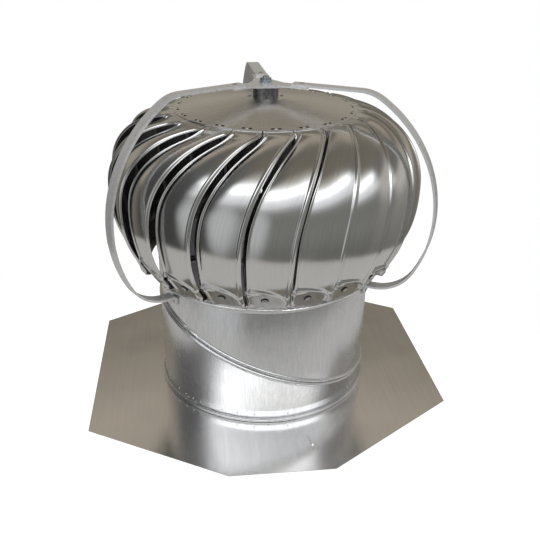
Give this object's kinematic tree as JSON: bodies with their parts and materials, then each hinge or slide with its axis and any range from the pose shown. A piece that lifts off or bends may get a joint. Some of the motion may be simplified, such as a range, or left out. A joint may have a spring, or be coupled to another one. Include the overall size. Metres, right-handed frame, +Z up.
{
  "type": "turbine roof vent",
  "caption": "Externally braced aluminium turbine roof vent with a vaned spinning head, a slant-seam collar and a clipped square flashing.",
  "frame": {"origin": "on the vent's axis, on the underside of the flashing", "axes": "+Z up the vent's axis, +X and +Y along the flashing's edges, with the embossed mark on the -Y side"},
  "size_m": [0.508, 0.508, 0.4446],
  "materials": {
    "flashing_sheet": "bright mill sheet",
    "collar_sheet": "brushed mill sheet",
    "rotor_sheet": "bright rolled sheet",
    "strap_bar": "satin flat bar",
    "rivet_metal": "satin",
    "zinc_steel": "zinc plated",
    "bearing_steel": "ground",
    "dark_steel": "dark oiled"
  },
  "bodies": {
    "base": {"flashing": "flashing_sheet"},
    "swivel": {"lower_collar": "collar_sheet"},
    "frame": {"upper_collar": "collar_sheet", "brace_arm_rear": "strap_bar", "brace_arm_left": "strap_bar", "brace_arm_right": "strap_bar", "arm_foot_rivets": "rivet_metal", "hub_bracket": "strap_bar", "hub_rivets": "rivet_metal", "hub_bolt": "zinc_steel", "hub_nut": "zinc_steel", "hub_washer": "zinc_steel", "thrust_washer": "zinc_steel", "hub_spacer": "zinc_steel", "bearing_sleeve": "zinc_steel", "upper_bearing_inner_race": "bearing_steel", "lower_bearing_inner_race": "bearing_steel"},
    "rotor": {"turbine_cap": "rotor_sheet", "bearing_housing": "dark_steel", "housing_rivets": "rivet_metal", "upper_bearing_outer_race": "bearing_steel", "lower_bearing_outer_race": "bearing_steel", "turbine_ring": "rotor_sheet", "vane_01": "rotor_sheet", "vane_02": "rotor_sheet", "vane_03": "rotor_sheet", "vane_04": "rotor_sheet", "vane_05": "rotor_sheet", "vane_06": "rotor_sheet", "vane_07": "rotor_sheet", "vane_08": "rotor_sheet", "vane_09": "rotor_sheet", "vane_10": "rotor_sheet", "vane_11": "rotor_sheet", "vane_12": "rotor_sheet", "vane_13": "rotor_sheet", "vane_14": "rotor_sheet", "vane_15": "rotor_sheet", "vane_16": "rotor_sheet", "vane_17": "rotor_sheet", "vane_18": "rotor_sheet", "vane_19": "rotor_sheet", "vane_20": "rotor_sheet", "vane_21": "rotor_sheet", "vane_rivets": "rivet_metal"}
  },
  "joints": [
    {"name": "collar_swivel", "type": "hinge", "parent": "base", "child": "swivel", "pos_m": [0, 0, 0], "axis": [0, 0, 1], "continuous": true},
    {"name": "pitch_turn", "type": "hinge", "parent": "swivel", "child": "frame", "pos_m": [0, 0, 0.08499], "axis": [0.3561, -0.0218, 0.9342], "continuous": true},
    {"name": "turbine_spin", "type": "hinge", "parent": "frame", "child": "rotor", "pos_m": [0, 0, 0.4], "axis": [0, 0, 1], "continuous": true}
  ]
}
